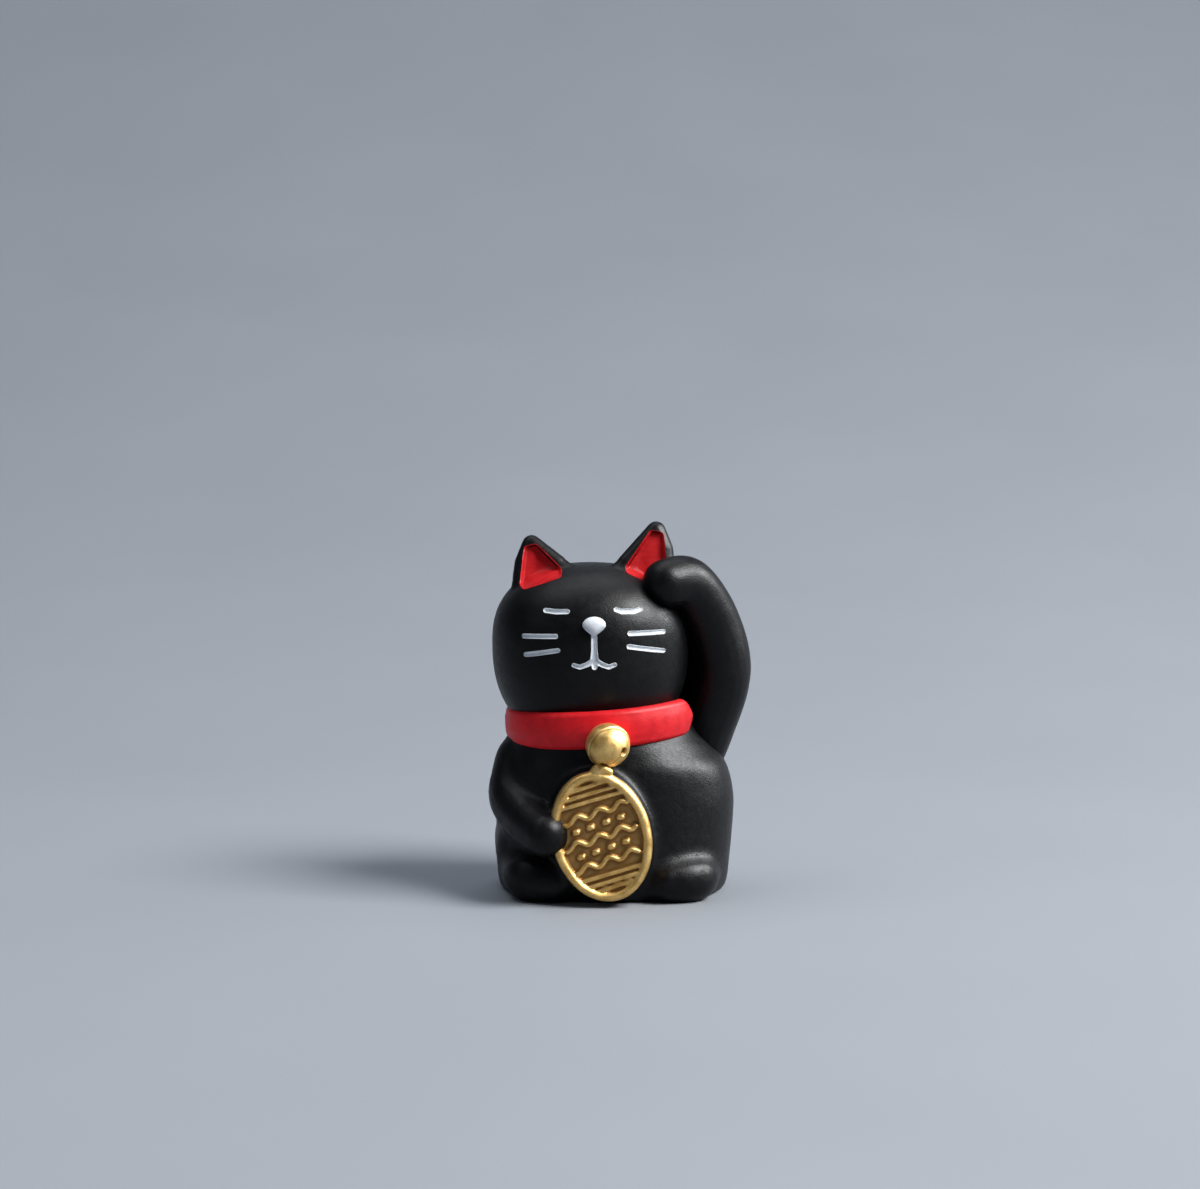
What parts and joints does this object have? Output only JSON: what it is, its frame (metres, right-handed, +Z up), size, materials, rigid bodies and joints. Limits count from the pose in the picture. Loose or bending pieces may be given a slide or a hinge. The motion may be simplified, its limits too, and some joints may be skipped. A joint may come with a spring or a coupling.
{
  "type": "beckoning cat figurine",
  "caption": "Small seated cat figurine in painted resin, one paw raised to its ear, the other holding an oval coin, with a collar and bell.",
  "frame": {"origin": "centre of the flat base, on the surface that the figurine stands on", "axes": "+Z up towards the ears, -Y out of the face, +X towards the cat's own left, where the raised arm is"},
  "size_m": [0.0298, 0.027, 0.0419],
  "materials": {
    "black_resin": "matte black paint on cast resin",
    "red_paint": "satin red paint on cast resin",
    "gold_paint": "metallic gold paint on cast resin, darker in the hollows",
    "white_paint": "satin white brush paint"
  },
  "bodies": {
    "root": {"torso": "black_resin", "right_hind_foot": "black_resin", "left_hind_foot": "black_resin", "tail": "black_resin", "coin_arm": "black_resin", "raised_arm": "black_resin", "head": "black_resin", "right_ear_lining": "red_paint", "left_ear_lining": "red_paint", "right_eye": "white_paint", "left_eye": "white_paint", "nose": "white_paint", "mouth": "white_paint", "right_upper_whisker": "white_paint", "right_lower_whisker": "white_paint", "left_upper_whisker": "white_paint", "left_lower_whisker": "white_paint", "collar": "red_paint", "bell": "gold_paint", "coin": "gold_paint"}
  },
  "joints": []
}
